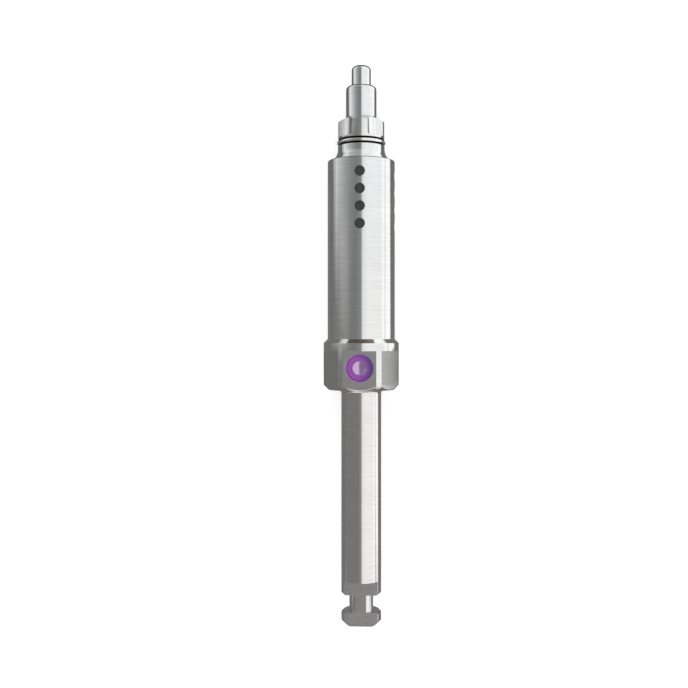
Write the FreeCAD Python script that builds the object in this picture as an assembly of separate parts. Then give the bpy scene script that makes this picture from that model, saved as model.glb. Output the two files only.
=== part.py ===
"""Latch type driver that turns dental implants, in millimetres, lying as it comes to rest.

The driver is modelled upright on the Z axis, from the latch end at the bottom to the tip at the
top, with its marked front towards -Y. One placement then lays it down: the tip points to +Y, the
marked front looks up, and the flange of the collar and the barrel's far edge touch the floor.
"""

import FreeCAD, Part
import math
import os

# Shank and latch: the common 2.35 mm handpiece fitting
SHANK_DIAMETER = 2.35
SHANK_LENGTH = 13.83
LATCH_HEAD_LENGTH = 0.82
LATCH_GROOVE_WIDTH = 1.00
LATCH_GROOVE_DIAMETER = 1.40
LATCH_END_CHAMFER = 0.29
LATCH_EDGE_BREAK = 0.10
DRIVE_FLAT_LENGTH = 2.64
DRIVE_FLAT_THICKNESS = 1.80
SHANK_FILLET = 0.25

# Collar: a hexagon under a round flange that stands over its flats
HEXAGON_ACROSS_FLATS = 4.00
HEXAGON_LENGTH = 2.29
FLANGE_OVERHANG = 0.22
FLANGE_LENGTH = 0.69
COLLAR_LOWER_CHAMFER = 0.28
COLLAR_SLOPE_LENGTH = 0.24
HEXAGON_SIDES = 6
FLANGE_DIAMETER = HEXAGON_ACROSS_FLATS + 2 * FLANGE_OVERHANG

# Coloured dimple in the front flat of the hexagon
DIMPLE_DIAMETER = 1.62
DIMPLE_DEPTH = 0.81
DIMPLE_CENTRE_BELOW_FLANGE = 0.98
DIMPLE_ENAMEL_THICKNESS = 0.09
DIMPLE_RIM_WIDTH = 0.03

# Barrel and its depth dots
BARREL_DIAMETER = 3.96
BARREL_LENGTH = 10.47
BARREL_EDGE_BREAK = 0.05
DOT_DIAMETER = 0.61
DOT_DEPTH = 0.12
DOT_ENAMEL_RECESS = 0.015
DOT_PITCH = 1.00
DOTS_IN_ROW = 4
FIRST_DOT_FROM_BARREL_END = 0.85
DOT_ROWS = {"front": 0, "right": 90, "back": 180, "left": 270}

# Neck: a concave flare from the barrel's face to the ring groove
NECK_DIAMETER = 2.75
NECK_LENGTH = 0.14
FLARE_RADIUS = 0.90
FLARE_ANGLE = 31.0
FLARE_LENGTH = 0.73

# Groove and the split ring in it
RING_GROOVE_WIDTH = 0.40
RING_GROOVE_DIAMETER = 2.16
RING_THICKNESS = 0.29
RING_FLOOR_CLEARANCE = 0.06
RING_SIDE_CLEARANCE = 0.10
RING_ROUNDING = 0.09
RING_SPLIT_WIDTH = 0.35
RING_INNER_RADIUS = RING_GROOVE_DIAMETER / 2 + RING_FLOOR_CLEARANCE
RING_OUTER_RADIUS = RING_INNER_RADIUS + RING_THICKNESS

# Driving section: four lobes between concave flutes
DRIVE_DIAMETER = 2.72
DISC_LENGTH = 0.12
LOBE_LENGTH = 0.90
LOBE_COUNT = 4
FLUTE_RADIUS = 1.45
FLUTE_FLOOR_DIAMETER = 2.17
FLUTE_END_ROUNDING = 0.08
CONE_ANGLE = 30.0

# Pilot and tip
PILOT_DIAMETER = 1.80
PILOT_LENGTH = 1.87
PILOT_ROUNDING = 0.22
TIP_DIAMETER = 1.14
TIP_LENGTH = 1.20
TIP_ROUNDING = 0.26

# Stations along the axis, counted from the latch end
COLLAR_BASE = SHANK_LENGTH
FLANGE_BASE = COLLAR_BASE + HEXAGON_LENGTH
BARREL_BASE = FLANGE_BASE + FLANGE_LENGTH
BARREL_END = BARREL_BASE + BARREL_LENGTH
NECK_BASE = BARREL_END + FLARE_LENGTH
GROOVE_BASE = NECK_BASE + NECK_LENGTH
DISC_BASE = GROOVE_BASE + RING_GROOVE_WIDTH
LOBE_BASE = DISC_BASE + DISC_LENGTH
CONE_BASE = LOBE_BASE + LOBE_LENGTH
CONE_HEIGHT = (DRIVE_DIAMETER - PILOT_DIAMETER) / 2 * math.tan(math.radians(CONE_ANGLE))
PILOT_BASE = CONE_BASE + CONE_HEIGHT
TIP_BASE = PILOT_BASE + PILOT_LENGTH
TOTAL_LENGTH = TIP_BASE + TIP_LENGTH

# How far a cutter runs past the surface that it cuts
CUT_ALLOWANCE = 1.0
# A rounding takes at most this share of the room that it has
ROUNDING_LIMIT = 0.9

AXIS = FreeCAD.Vector(0, 0, 1)
ORIGIN = FreeCAD.Vector(0, 0, 0)
FRONT_ANGLE = -90
BACK_ANGLE = 90


class Outline:
    """Half section of a turned piece, drawn from point to point by radius and station."""

    def __init__(self, radius, station):
        self.points = [(radius, station)]
        self.edges = []

    def line_to(self, radius, station):
        """Adds a straight run."""
        start = section_point(*self.points[-1])
        end = section_point(radius, station)
        self.edges.append(Part.makeLine(start, end))
        self.points.append((radius, station))

    def arc_to(self, radius, station, centre_radius, centre_station):
        """Adds an arc under 180 degrees about the given centre."""
        start = section_point(*self.points[-1])
        end = section_point(radius, station)
        centre = section_point(centre_radius, centre_station)
        towards_middle = (start + end) * 0.5 - centre
        towards_middle.normalize()
        middle = centre + towards_middle * (end - centre).Length
        self.edges.append(Part.Arc(start, middle, end).toShape())
        self.points.append((radius, station))

    def close(self):
        """Adds the straight run back to the first point."""
        self.line_to(*self.points[0])

    def filled(self):
        """Face inside the closed outline."""
        return Part.Face(Part.Wire(self.edges))


def section_point(radius, station):
    """Point of the half section, which lies in the XZ plane."""
    return FreeCAD.Vector(radius, 0, station)


def front_of(distance, station):
    """Point in front of the axis at a distance from it."""
    return FreeCAD.Vector(0, -distance, station)


def draw_latch(outline):
    """Latch end, with its groove, and the shank up to the fillet under the collar."""
    shank = SHANK_DIAMETER / 2
    groove = LATCH_GROOVE_DIAMETER / 2
    groove_end = LATCH_HEAD_LENGTH + LATCH_GROOVE_WIDTH
    outline.line_to(shank - LATCH_END_CHAMFER, 0)
    outline.line_to(shank, LATCH_END_CHAMFER)
    outline.line_to(shank, LATCH_HEAD_LENGTH - LATCH_EDGE_BREAK)
    outline.line_to(shank - LATCH_EDGE_BREAK, LATCH_HEAD_LENGTH)
    outline.line_to(groove, LATCH_HEAD_LENGTH)
    outline.line_to(groove, groove_end)
    outline.line_to(shank - LATCH_EDGE_BREAK, groove_end)
    outline.line_to(shank, groove_end + LATCH_EDGE_BREAK)
    fillet_radius = shank + SHANK_FILLET
    fillet_station = COLLAR_BASE - SHANK_FILLET
    outline.line_to(shank, fillet_station)
    outline.arc_to(fillet_radius, COLLAR_BASE, fillet_radius, fillet_station)


def draw_collar_and_barrel(outline):
    """Collar with its chamfers, then the barrel up to its far face."""
    collar = FLANGE_DIAMETER / 2
    barrel = BARREL_DIAMETER / 2
    outline.line_to(collar - COLLAR_LOWER_CHAMFER, COLLAR_BASE)
    outline.line_to(collar, COLLAR_BASE + COLLAR_LOWER_CHAMFER)
    outline.line_to(collar, BARREL_BASE - COLLAR_SLOPE_LENGTH)
    outline.line_to(barrel, BARREL_BASE)
    outline.line_to(barrel, BARREL_END - BARREL_EDGE_BREAK)
    outline.line_to(barrel - BARREL_EDGE_BREAK, BARREL_END)


def draw_neck(outline):
    """Flare, a short cone that curves into the neck, then the groove of the ring."""
    neck = NECK_DIAMETER / 2
    groove = RING_GROOVE_DIAMETER / 2
    slope = math.radians(FLARE_ANGLE)
    curve_radius = neck + FLARE_RADIUS * (1 - math.cos(slope))
    curve_base = NECK_BASE - FLARE_RADIUS * math.sin(slope)
    cone_foot = curve_radius + (curve_base - BARREL_END) * math.tan(slope)
    outline.line_to(cone_foot, BARREL_END)
    outline.line_to(curve_radius, curve_base)
    outline.arc_to(neck, NECK_BASE, neck + FLARE_RADIUS, NECK_BASE)
    outline.line_to(neck, GROOVE_BASE)
    outline.line_to(groove, GROOVE_BASE)
    outline.line_to(groove, DISC_BASE)


def draw_drive_and_tip(outline):
    """Disc, round blank of the lobes, cone, rounded pilot and rounded tip."""
    drive = DRIVE_DIAMETER / 2
    pilot = PILOT_DIAMETER / 2
    tip = TIP_DIAMETER / 2
    outline.line_to(drive, DISC_BASE)
    outline.line_to(drive, CONE_BASE)
    outline.line_to(pilot, PILOT_BASE)
    rounding = min(PILOT_ROUNDING, (pilot - tip) * ROUNDING_LIMIT)
    shoulder = pilot - rounding
    outline.line_to(pilot, TIP_BASE - rounding)
    outline.arc_to(shoulder, TIP_BASE, shoulder, TIP_BASE - rounding)
    outline.line_to(tip, TIP_BASE)
    tip_rounding = min(TIP_ROUNDING, tip * ROUNDING_LIMIT)
    tip_shoulder = tip - tip_rounding
    outline.line_to(tip, TOTAL_LENGTH - tip_rounding)
    outline.arc_to(tip_shoulder, TOTAL_LENGTH, tip_shoulder, TOTAL_LENGTH - tip_rounding)
    outline.line_to(0, TOTAL_LENGTH)


def turned_blank():
    """The body as it leaves the lathe, with its seam to the back, the side that it lies on."""
    outline = Outline(0, 0)
    draw_latch(outline)
    draw_collar_and_barrel(outline)
    draw_neck(outline)
    draw_drive_and_tip(outline)
    outline.close()
    return turned_about_axis(outline.filled().revolve(ORIGIN, AXIS, 360), BACK_ANGLE)


def hexagon_cutter():
    """Sleeve that leaves the hexagon standing, with one of its flats to the front."""
    corner_radius = HEXAGON_ACROSS_FLATS / 2 / math.cos(math.pi / HEXAGON_SIDES)
    step = 360 / HEXAGON_SIDES
    start = COLLAR_BASE - CUT_ALLOWANCE
    corners = []
    for index in range(HEXAGON_SIDES + 1):
        angle = math.radians(FRONT_ANGLE + (index + 0.5) * step)
        x = corner_radius * math.cos(angle)
        y = corner_radius * math.sin(angle)
        corners.append(FreeCAD.Vector(x, y, start))
    height = HEXAGON_LENGTH + CUT_ALLOWANCE
    prism = Part.Face(Part.makePolygon(corners)).extrude(AXIS * height)
    sleeve_radius = FLANGE_DIAMETER / 2 + CUT_ALLOWANCE
    sleeve = Part.makeCylinder(sleeve_radius, height, AXIS * start)
    return sleeve.cut(prism)


def drive_flat_cutter():
    """Block that mills the flat of the latch end on the front."""
    shank = SHANK_DIAMETER / 2
    flat_distance = DRIVE_FLAT_THICKNESS - shank
    width = SHANK_DIAMETER + 2 * CUT_ALLOWANCE
    depth = shank - flat_distance + CUT_ALLOWANCE
    height = DRIVE_FLAT_LENGTH + CUT_ALLOWANCE
    corner = FreeCAD.Vector(-width / 2, -flat_distance - depth, -CUT_ALLOWANCE)
    return Part.makeBox(width, depth, height, corner)


def flute_cutter():
    """Round bar that leaves one concave flute at the front, rounded where it stops."""
    distance = FLUTE_FLOOR_DIAMETER / 2 + FLUTE_RADIUS
    height = PILOT_BASE - LOBE_BASE
    bar = Part.makeCylinder(FLUTE_RADIUS, height, front_of(distance, LOBE_BASE))
    lower_edges = [edge for edge in bar.Edges if edge.BoundBox.ZMax < LOBE_BASE + height / 2]
    return bar.makeFillet(FLUTE_END_ROUNDING, lower_edges)


def flute_cutters():
    """One flute between each two lobes, with a lobe at the front."""
    step = 360 / LOBE_COUNT
    cutter = flute_cutter()
    return [turned_about_axis(cutter, (index + 0.5) * step) for index in range(LOBE_COUNT)]


def turned_about_axis(shape, angle):
    """Copy of a shape, turned about the driver's axis."""
    copy = shape.copy()
    copy.rotate(ORIGIN, AXIS, angle)
    return copy


def dimple_cap(rim_diameter, depth):
    """Cap of a ball, with its flat side on the front flat of the hexagon."""
    rim = rim_diameter / 2
    radius = (rim ** 2 + depth ** 2) / (2 * depth)
    distance = HEXAGON_ACROSS_FLATS / 2 - depth + radius
    centre = front_of(distance, FLANGE_BASE - DIMPLE_CENTRE_BELOW_FLANGE)
    latitude = math.degrees(math.asin((radius - depth) / radius))
    return Part.makeSphere(radius, centre, front_of(-1, 0), latitude, 90, 360)


def dimple_enamel():
    """Coloured enamel that lines the dimple and ends flush with the flat."""
    inner_depth = DIMPLE_DEPTH - DIMPLE_ENAMEL_THICKNESS
    inner_diameter = DIMPLE_DIAMETER - 2 * DIMPLE_RIM_WIDTH
    pocket = dimple_cap(DIMPLE_DIAMETER, DIMPLE_DEPTH)
    return pocket.cut(dimple_cap(inner_diameter, inner_depth))


def dot_station(index):
    """Station of a depth dot, counted back from the barrel's far face."""
    return BARREL_END - FIRST_DOT_FROM_BARREL_END - index * DOT_PITCH


def dot_drill(index, row_angle):
    """Flat ended drill for one depth dot."""
    barrel = BARREL_DIAMETER / 2
    start = front_of(barrel - DOT_DEPTH, dot_station(index))
    drill = Part.makeCylinder(DOT_DIAMETER / 2, DOT_DEPTH + CUT_ALLOWANCE, start, front_of(1, 0))
    return turned_about_axis(drill, row_angle)


def dot_enamel(index, row_angle):
    """Black enamel that fills one depth dot to just under the barrel's surface."""
    radius = BARREL_DIAMETER / 2 - DOT_ENAMEL_RECESS
    surface = Part.makeCylinder(radius, BARREL_LENGTH, AXIS * BARREL_BASE)
    return dot_drill(index, row_angle).common(surface)


def milled_blank():
    """The turned body with its flats and flutes, before dots and dimple."""
    cutters = [hexagon_cutter(), drive_flat_cutter()] + flute_cutters()
    return turned_blank().cut(cutters)


def driver_body():
    """The whole steel body."""
    cutters = [dimple_cap(DIMPLE_DIAMETER, DIMPLE_DEPTH)]
    for row_angle in DOT_ROWS.values():
        cutters += [dot_drill(index, row_angle) for index in range(DOTS_IN_ROW)]
    return milled_blank().cut(cutters)


def ring_section():
    """Section of the ring's wire between its side clearances, rounded on the outside."""
    base = GROOVE_BASE + RING_SIDE_CLEARANCE
    top = DISC_BASE - RING_SIDE_CLEARANCE
    rounding = min(RING_ROUNDING, (top - base) / 2 * ROUNDING_LIMIT)
    shoulder = RING_OUTER_RADIUS - rounding
    outline = Outline(RING_INNER_RADIUS, base)
    outline.line_to(shoulder, base)
    outline.arc_to(RING_OUTER_RADIUS, base + rounding, shoulder, base + rounding)
    outline.line_to(RING_OUTER_RADIUS, top - rounding)
    outline.arc_to(shoulder, top, shoulder, top - rounding)
    outline.line_to(RING_INNER_RADIUS, top)
    outline.close()
    return outline.filled()


def retaining_ring():
    """Split spring ring that stands out of its groove, with the split at the back."""
    split_angle = math.degrees(RING_SPLIT_WIDTH / RING_OUTER_RADIUS)
    ring = ring_section().revolve(ORIGIN, AXIS, 360 - split_angle)
    return turned_about_axis(ring, BACK_ANGLE + split_angle / 2)


def resting_placement(body):
    """Placement that lays the upright driver on its flange and its barrel's far edge."""
    flange_contact = BARREL_BASE - COLLAR_SLOPE_LENGTH
    barrel_contact = BARREL_END - BARREL_EDGE_BREAK
    drop = (FLANGE_DIAMETER - BARREL_DIAMETER) / 2
    tilt = math.degrees(math.atan2(drop, barrel_contact - flange_contact))
    turn = FreeCAD.Rotation(FreeCAD.Vector(1, 0, 0), -90 - tilt)
    laid = body.transformed(FreeCAD.Placement(ORIGIN, turn).toMatrix(), True)
    box = laid.optimalBoundingBox(False, False)
    middle = (box.YMin + box.YMax) / 2
    return FreeCAD.Placement(FreeCAD.Vector(0, -middle, -box.ZMin), turn)


def upright_pieces():
    """Every piece by name, on the upright axis."""
    pieces = {
        "driver_body": driver_body(),
        "retaining_ring": retaining_ring(),
        "dimple_enamel": dimple_enamel(),
    }
    for row_name, row_angle in DOT_ROWS.items():
        for index in range(DOTS_IN_ROW):
            name = f"depth_dot_{row_name}_{index + 1}"
            pieces[name] = dot_enamel(index, row_angle)
    return pieces


def main():
    """Builds every piece, lays the driver down and writes one file per piece."""
    pieces = upright_pieces()
    placement = resting_placement(pieces["driver_body"])
    os.makedirs("parts", exist_ok=True)
    for name, piece in pieces.items():
        laid = piece.transformed(placement.toMatrix(), True)
        laid.exportStep(os.path.join("parts", f"{name}.step"))
        print(f"{name}: {piece.Volume:.4f} mm3, valid {laid.isValid()}, solids {len(laid.Solids)}")


if __name__ == "__main__":
    main()
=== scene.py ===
"""Finished look of a latch type implant driver that lies on a pale floor.

The driver is drawn upright, from its latch end at station 0 to its tip, with the marked front
towards -Y and all sizes in millimetres. One placement then lays it down in metres: the tip points
to +Y, the marked front looks up, and flange and barrel touch the floor.
"""

from __future__ import annotations

import logging
import math
from dataclasses import dataclass
from enum import Enum
from functools import partial, reduce
from typing import Sequence

import bmesh
import bpy
from bmesh.types import BMesh, BMFace, BMVert
from bpy.types import Material, Node, NodeSocket, NodeTree, Object
from mathutils import Matrix, Vector


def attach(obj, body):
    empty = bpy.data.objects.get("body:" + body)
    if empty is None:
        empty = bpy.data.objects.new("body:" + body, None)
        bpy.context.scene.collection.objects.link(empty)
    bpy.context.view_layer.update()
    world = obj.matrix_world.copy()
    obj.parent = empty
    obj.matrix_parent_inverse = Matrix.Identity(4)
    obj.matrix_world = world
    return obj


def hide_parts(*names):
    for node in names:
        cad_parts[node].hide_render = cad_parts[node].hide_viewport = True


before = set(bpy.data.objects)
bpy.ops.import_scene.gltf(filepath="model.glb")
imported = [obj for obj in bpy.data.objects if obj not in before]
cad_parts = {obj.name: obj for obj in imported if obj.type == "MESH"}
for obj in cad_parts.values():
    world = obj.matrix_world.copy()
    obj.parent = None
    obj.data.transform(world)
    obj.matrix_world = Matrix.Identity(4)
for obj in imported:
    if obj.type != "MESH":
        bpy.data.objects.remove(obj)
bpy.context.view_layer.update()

LOG = logging.getLogger("implant_driver")
MM = 0.001
MERGE_DISTANCE = 1e-6
DEGREE = math.radians(1)
FULL_TURN = 2 * math.pi
FRONT = Vector((0, -1, 0))
AXIS = Vector((0, 0, 1))
Point = tuple[float, float]
Colour = tuple[float, float, float]
WHITE = (1, 1, 1, 1)
SMOOTH = "SMOOTHSTEP"
NOISE_RANGE = (0.3, 0.7)
RELIEF_DEPTH = 0.01 * MM
DOT_ROWS = {"front": 0, "right": 90, "back": 180, "left": 270}


class Surface(Enum):
    """How a face of the steel body was cut, or painted shade in the ring groove. The value is its material index.
    """

    TURNED = 0
    MILLED = 1
    GROUND = 2
    # Painted shade: near-black steel on the ring groove, standing in for the shade round the ring.
    SHADED = 3


@dataclass(frozen=True)
class DriverSizes:
    """Sizes of the driver in millimetres, as the solids have them."""

    shank_diameter: float = 2.35
    shank_length: float = 13.83
    latch_head_length: float = 0.82
    latch_groove_width: float = 1.00
    latch_groove_diameter: float = 1.40
    latch_end_chamfer: float = 0.29
    latch_edge_break: float = 0.10
    drive_flat_length: float = 2.64
    drive_flat_thickness: float = 1.80
    shank_fillet: float = 0.25
    hexagon_across_flats: float = 4.00
    hexagon_length: float = 2.29
    flange_diameter: float = 4.44
    flange_length: float = 0.69
    collar_lower_chamfer: float = 0.28
    collar_slope_length: float = 0.24
    dimple_diameter: float = 1.62
    dimple_below_flange: float = 0.98
    barrel_diameter: float = 3.96
    barrel_length: float = 10.47
    barrel_edge_break: float = 0.05
    dot_diameter: float = 0.61
    dot_depth: float = 0.12
    dot_pitch: float = 1.00
    dots_in_row: int = 4
    first_dot: float = 0.85
    neck_diameter: float = 2.75
    neck_length: float = 0.14
    flare_radius: float = 0.90
    flare_angle: float = 31.0
    flare_length: float = 0.73
    ring_groove_width: float = 0.40
    ring_groove_diameter: float = 2.16
    ring_thickness: float = 0.29
    ring_floor_clearance: float = 0.06
    ring_side_clearance: float = 0.10
    ring_rounding: float = 0.09
    ring_split_width: float = 0.35
    drive_diameter: float = 2.72
    disc_length: float = 0.12
    lobe_length: float = 0.90
    lobe_count: int = 4
    flute_radius: float = 1.45
    flute_floor_diameter: float = 2.17
    flute_end_rounding: float = 0.08
    cone_angle: float = 30.0
    pilot_diameter: float = 1.80
    pilot_length: float = 1.87
    pilot_rounding: float = 0.22
    tip_diameter: float = 1.14
    tip_length: float = 1.20
    tip_rounding: float = 0.26

    @property
    def flange_base(self) -> float:
        """Station where the hexagon ends and the flange starts."""
        return self.shank_length + self.hexagon_length

    @property
    def dimple_station(self) -> float:
        """Station of the dimple's middle."""
        return self.flange_base - self.dimple_below_flange

    @property
    def barrel_base(self) -> float:
        """Station where the barrel starts."""
        return self.flange_base + self.flange_length

    @property
    def barrel_end(self) -> float:
        """Station of the barrel's far face."""
        return self.barrel_base + self.barrel_length

    @property
    def neck_base(self) -> float:
        """Station where the flare has narrowed to the neck."""
        return self.barrel_end + self.flare_length

    @property
    def groove_base(self) -> float:
        """Station where the ring groove starts."""
        return self.neck_base + self.neck_length

    @property
    def disc_base(self) -> float:
        """Station where the ring groove ends."""
        return self.groove_base + self.ring_groove_width

    @property
    def lobe_base(self) -> float:
        """Station where the flutes start."""
        return self.disc_base + self.disc_length

    @property
    def cone_base(self) -> float:
        """Station where the lobes end in the cone."""
        return self.lobe_base + self.lobe_length

    @property
    def pilot_base(self) -> float:
        """Station where the cone meets the pilot."""
        drop = (self.drive_diameter - self.pilot_diameter) / 2
        return self.cone_base + drop * math.tan(math.radians(self.cone_angle))

    @property
    def tip_base(self) -> float:
        """Station where the pilot ends."""
        return self.pilot_base + self.pilot_length

    @property
    def total_length(self) -> float:
        """Station of the tip's end."""
        return self.tip_base + self.tip_length

    @property
    def tilt(self) -> float:
        """Angle by which the tip dips when the driver rests on flange and barrel.

        Returns:
            The angle, in radians.
        """
        flange_contact = self.barrel_base - self.collar_slope_length
        barrel_contact = self.barrel_end - self.barrel_edge_break
        drop = (self.flange_diameter - self.barrel_diameter) / 2
        return math.atan2(drop, barrel_contact - flange_contact)

    def dot_station(self, index: int) -> float:
        """Station of a depth dot, counted back from the barrel's far face."""
        return self.barrel_end - self.first_dot - index * self.dot_pitch


SIZES = DriverSizes()
REST_POINT = Vector((0, -16.442151, 2.592401)) * MM
REST_TURN = -math.pi / 2 - SIZES.tilt
LAID_DOWN = Matrix.Translation(REST_POINT) @ Matrix.Rotation(REST_TURN, 4, "X") @ Matrix.Scale(MM, 4)


def laid(x: float, y: float, station: float) -> Vector:
    """Where a point of the upright driver lies.

    Args:
        x, y, station: The point on the upright driver, in millimetres.

    Returns:
        The point in the row frame, in metres.
    """
    return LAID_DOWN @ Vector((x, y, station))


@dataclass(frozen=True)
class Corner:
    """A corner of a half section, in millimetres, and the rounding that it gets."""

    radius: float
    station: float
    rounding: float = 0.0
    steps: int = 3

    @property
    def point(self) -> Vector:
        """The corner's radius and station."""
        return Vector((self.radius, self.station))

    def arc(self, before: Vector, after: Vector) -> list[Point]:
        """Points of the arc that touches both sides of the corner.

        Args:
            before, after: The corners before it and after it.

        Returns:
            The arc's points from the first side to the second.
        """
        here = self.point
        first, second = (before - here).normalized(), (after - here).normalized()
        half = first.angle(second) / 2
        reach = self.rounding / math.tan(half)
        centre = here + (first + second).normalized() * (self.rounding / math.sin(half))
        start = here + first * reach - centre
        sweep = start.angle_signed(here + second * reach - centre)
        turns = [Matrix.Rotation(-sweep * step / self.steps, 2) for step in range(self.steps + 1)]
        return [tuple(turn @ start + centre) for turn in turns]


def outline(corners: Sequence[Corner], closed: bool = False) -> list[Point]:
    """Draws a half section with its corners rounded.

    Args:
        corners: Its corners, in order.
        closed: True if the last corner joins the first.

    Returns:
        Radius and station of each point.
    """
    places = [corner.point for corner in corners]
    made: list[Point] = []
    for index, corner in enumerate(corners):
        at_end = index in (0, len(corners) - 1) and not closed
        if corner.rounding <= 0 or at_end:
            made.append(tuple(places[index]))
        else:
            made += corner.arc(places[index - 1], places[(index + 1) % len(corners)])
    return made


def spin_profile(mesh: BMesh, points: Sequence[Point], steps: int, angle: float = FULL_TURN,
                 closed: bool = False) -> list[BMVert]:
    """Turns a half section about the Z axis and closes what stays open.

    Args:
        mesh: The mesh that takes the piece.
        points: Radius and station of each point of the section.
        steps: Number of steps in the turn.
        angle: Angle of the turn, in radians.
        closed: True if the section is a closed loop.

    Returns:
        The vertices of the piece.
    """
    known = set(mesh.verts)
    verts = [mesh.verts.new((radius, 0, station)) for radius, station in points]
    edges = [mesh.edges.new(pair) for pair in zip(verts, verts[1:])]
    if closed:
        edges.append(mesh.edges.new((verts[-1], verts[0])))
    bmesh.ops.spin(mesh, geom=verts + edges, cent=(0, 0, 0), axis=AXIS, angle=angle, steps=steps,
                   use_merge=angle == FULL_TURN, use_duplicate=False)
    made = [vert for vert in mesh.verts if vert not in known]
    bmesh.ops.remove_doubles(mesh, verts=made, dist=MERGE_DISTANCE)
    rims = [edge for edge in mesh.edges if edge.is_boundary and edge.verts[0] not in known]
    bmesh.ops.holes_fill(mesh, edges=rims, sides=0)
    return [vert for vert in mesh.verts if vert not in known]


def raise_faces(mesh: BMesh, faces: Sequence[BMFace], height: float) -> None:
    """Makes flat faces into a solid.

    Args:
        mesh: The mesh that holds them.
        faces: The faces, which stay as the solid's base.
        height: The solid's height along Z.
    """
    made = bmesh.ops.extrude_face_region(mesh, geom=faces, use_keep_orig=True)
    lifted = [item for item in made["geom"] if isinstance(item, BMVert)]
    bmesh.ops.translate(mesh, verts=lifted, vec=AXIS * height)


def half_plane_corners(sides: Sequence[Point], station: float) -> list[Vector]:
    """Corners of the convex outline that lies inside a set of half planes.

    Args:
        sides: Direction of each side's outward normal in radians and its distance, in order round.
        station: Height of the outline.

    Returns:
        The corner between each side and the next.
    """
    corners = []
    for (angle, distance), (next_angle, next_distance) in zip(sides, list(sides[1:]) + [sides[0]]):
        spread = math.sin(next_angle - angle)
        x = (distance * math.sin(next_angle) - next_distance * math.sin(angle)) / spread
        y = (next_distance * math.cos(angle) - distance * math.cos(next_angle)) / spread
        corners.append(Vector((x, y, station)))
    return corners


def place_on_side(mesh: BMesh, verts: Sequence[BMVert], station: float, row: float) -> None:
    """Turns a feature drawn along Z to face outwards at one station of the driver.

    Args:
        mesh: The mesh that holds it.
        verts: Its vertices, whose Z is the distance from the axis.
        station: Its station, in millimetres.
        row: Angle round the axis from the front, in degrees.
    """
    verts = list(verts)
    bmesh.ops.rotate(mesh, verts=verts, matrix=Matrix.Rotation(math.pi / 2, 3, "X"))
    bmesh.ops.translate(mesh, verts=verts, vec=AXIS * station)
    bmesh.ops.rotate(mesh, verts=verts, matrix=Matrix.Rotation(math.radians(row), 3, "Z"))


def mesh_object(name: str, mesh: BMesh, *materials: Material) -> Object:
    """Turns a mesh into a named object in the scene.

    Args:
        name: Name of the object.
        mesh: Its mesh, which is freed.
        materials: Its materials, in the order of the faces' material indices.

    Returns:
        The object, at the origin.
    """
    bmesh.ops.recalc_face_normals(mesh, faces=mesh.faces)
    data = bpy.data.meshes.new(name)
    mesh.to_mesh(data)
    mesh.free()
    for material in materials:
        data.materials.append(material)
    made = bpy.data.objects.new(name, data)
    bpy.context.scene.collection.objects.link(made)
    return made


def cut(piece: Object, cutter: Object) -> None:
    """Cuts one closed mesh out of another and removes the cutter.

    Args:
        piece: The object that is cut.
        cutter: The object that cuts, whose faces keep their material index.
    """
    modifier = piece.modifiers.new("cut", "BOOLEAN")
    modifier.operation = "DIFFERENCE"
    modifier.solver = "EXACT"
    modifier.material_mode = "INDEX"
    modifier.object = cutter
    graph = bpy.context.evaluated_depsgraph_get()
    made = bpy.data.meshes.new_from_object(piece.evaluated_get(graph))
    piece.modifiers.clear()
    old = piece.data
    made.name = old.name
    piece.data = made
    bpy.data.meshes.remove(old)
    bpy.data.meshes.remove(cutter.data)


def smooth_shade(piece: Object, smooth_angles: Sequence[float]) -> None:
    """Shades a piece smooth, with creases where two cuts meet and where a cut turns sharply.

    Args:
        piece: The object.
        smooth_angles: Steepest angle in degrees that stays smooth, for each material index.
    """
    mesh = bmesh.new()
    mesh.from_mesh(piece.data)
    for face in mesh.faces:
        face.smooth = True
    for edge in mesh.edges:
        if len(edge.link_faces) != 2:
            edge.smooth = False
            continue
        first, second = edge.link_faces
        limit = math.radians(smooth_angles[first.material_index])
        same = first.material_index == second.material_index
        edge.smooth = same and edge.calc_face_angle(0.0) < limit
    mesh.to_mesh(piece.data)
    mesh.free()
    modifier = piece.modifiers.new("even_normals", "WEIGHTED_NORMAL")
    modifier.keep_sharp = True


def hand_over(piece: Object, smooth_angles: Sequence[float], nodes: Sequence[str]) -> None:
    """Shades an upright piece, lays it down in metres and hands it to the frame.

    Args:
        piece: The object.
        smooth_angles: Steepest angle in degrees that stays smooth, for each material index.
        nodes: The solids that it stands for.
    """
    smooth_shade(piece, smooth_angles)
    piece.data.transform(LAID_DOWN)
    piece.data.update()
    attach(piece, "root")
    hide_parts(*nodes)
    LOG.info("%s: %d faces, stands for %d solids", piece.name, len(piece.data.polygons), len(nodes))


def face_away(item: Object, up: Vector, back: Vector) -> None:
    """Turns a lamp or a camera.

    Args:
        item: The lamp or the camera.
        up: Unit vector that points up in its view.
        back: Unit vector that it looks away from.
    """
    item.rotation_mode = "QUATERNION"
    item.rotation_quaternion = Matrix((up.cross(back), up, back)).transposed().to_quaternion()


@dataclass(frozen=True)
class Ramp:
    """An even change from one value to another, while what is read goes from start to end."""

    start: float
    end: float
    first: float = 0.0
    last: float = 1.0


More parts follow.
